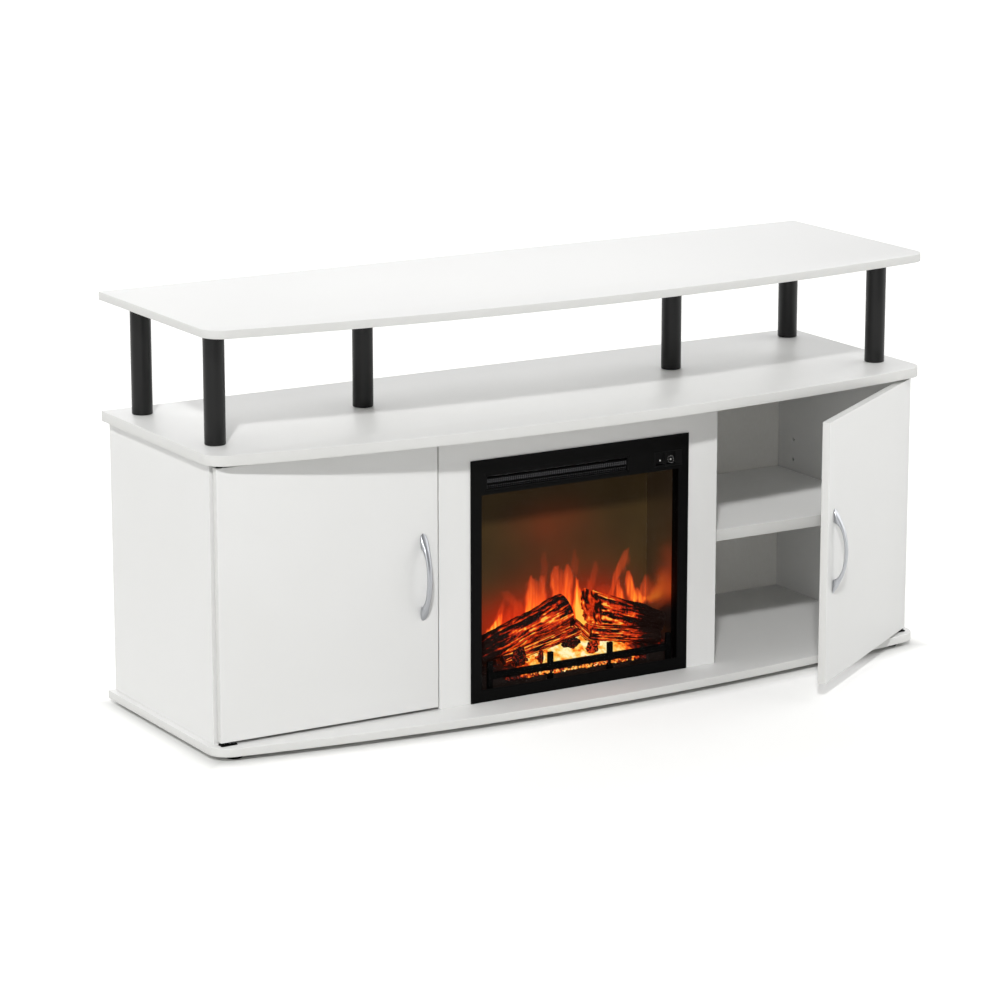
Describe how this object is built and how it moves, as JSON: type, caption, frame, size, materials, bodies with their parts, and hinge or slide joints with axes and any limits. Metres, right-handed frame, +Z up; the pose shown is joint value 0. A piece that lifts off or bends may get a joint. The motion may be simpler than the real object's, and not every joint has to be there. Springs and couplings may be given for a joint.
{
  "type": "fireplace tv stand",
  "caption": "Bow-fronted white TV stand with a raised top on black posts, pivot-hung doors, shelves and an electric log fire in the middle.",
  "frame": {"origin": "middle of the footprint on the floor, with the right door standing open at its rest angle", "axes": "+X to the viewer's right along the boards, +Y to the back, +Z up"},
  "size_m": [1.2, 0.53, 0.608],
  "materials": {
    "white_laminate": "particleboard with smooth satin white melamine and matching edge band",
    "white_foil": "thin hardboard with matt white paper foil",
    "black_post": "smooth black tube with a soft sheen",
    "black_plastic": "moulded black, fine matt grain",
    "black_steel": "black powder coat, satin",
    "satin_metal": "satin silver plating on die-cast zinc",
    "zinc_steel": "bright zinc-plated sheet and fasteners",
    "aluminium": "bare rolled aluminium",
    "window_glass": "lightly tinted toughened glass",
    "flame_screen": "smoked acrylic screen that shows the flame picture",
    "charred_resin": "moulded resin logs painted as charred bark",
    "ember_resin": "translucent resin lit from below",
    "circuit_board": "green solder mask",
    "white_plastic": "moulded white"
  },
  "bodies": {
    "cabinet": {"top_board": "white_laminate", "cabinet_top": "white_laminate", "base_board": "white_laminate", "side_panel_left": "white_laminate", "side_panel_right": "white_laminate", "partition_left": "white_laminate", "partition_right": "white_laminate", "back_panel_left": "white_foil", "back_panel_right": "white_foil", "shelf_left": "white_laminate", "shelf_right": "white_laminate", "fire_surround": "white_laminate", "post_front_left": "black_post", "post_front_right": "black_post", "post_rear_left": "black_post", "post_rear_right": "black_post", "post_centre_left": "black_post", "post_centre_right": "black_post", "glide_front_left": "black_plastic", "glide_front_right": "black_plastic", "glide_rear_left": "black_plastic", "glide_rear_right": "black_plastic", "pivot_bracket_top_left": "black_steel", "pivot_bracket_bottom_left": "black_steel", "pivot_bracket_top_right": "black_steel", "pivot_bracket_bottom_right": "black_steel", "magnetic_catch_left": "white_plastic", "magnetic_catch_right": "white_plastic", "insert_front": "black_steel", "window_glass": "window_glass", "insert_case": "zinc_steel", "outlet_louvre": "black_plastic", "control_plate": "black_plastic", "blower_housing": "zinc_steel", "blower_motor": "zinc_steel", "heater_element": "aluminium", "flame_screen": "flame_screen", "flame_motor": "zinc_steel", "light_board": "circuit_board", "ember_bed": "ember_resin", "fire_grate": "black_plastic", "log_left": "charred_resin", "log_right": "charred_resin", "log_front": "charred_resin", "cord_gland": "black_plastic"},
    "left_door": {"door_left": "white_laminate", "bush_top_left": "black_plastic", "bush_bottom_left": "black_plastic", "pull_left": "satin_metal", "strike_plate_left": "zinc_steel"},
    "right_door": {"door_right": "white_laminate", "bush_top_right": "black_plastic", "bush_bottom_right": "black_plastic", "pull_right": "satin_metal", "strike_plate_right": "zinc_steel"},
    "heat_rocker": {"heat_switch": "black_plastic"},
    "flame_rocker": {"flame_switch": "black_plastic"},
    "blower": {"blower_wheel": "aluminium"},
    "flame_flicker": {"flame_spindle": "aluminium"}
  },
  "joints": [
    {"name": "left_door_hinge", "type": "hinge", "parent": "cabinet", "child": "left_door", "pos_m": [-0.579, -0.06497, 0.22], "axis": [0, 0, -1], "range_deg": [0, 110]},
    {"name": "right_door_hinge", "type": "hinge", "parent": "cabinet", "child": "right_door", "pos_m": [0.579, -0.06497, 0.22], "axis": [0, 0, 1], "range_deg": [-34, 76]},
    {"name": "heat_switch_rock", "type": "hinge", "parent": "cabinet", "child": "heat_rocker", "pos_m": [0.135, -0.06497, 0.34285], "axis": [1, 0, 0], "range_deg": [0, 14]},
    {"name": "flame_switch_rock", "type": "hinge", "parent": "cabinet", "child": "flame_rocker", "pos_m": [0.1535, -0.06497, 0.34285], "axis": [1, 0, 0], "range_deg": [0, 14]},
    {"name": "blower_spin", "type": "hinge", "parent": "cabinet", "child": "blower", "pos_m": [-0.042, 0.0093, 0.34925], "axis": [1, 0, 0], "continuous": true},
    {"name": "flame_spindle_spin", "type": "hinge", "parent": "cabinet", "child": "flame_flicker", "pos_m": [0, 0.0523, 0.062], "axis": [1, 0, 0], "continuous": true}
  ]
}
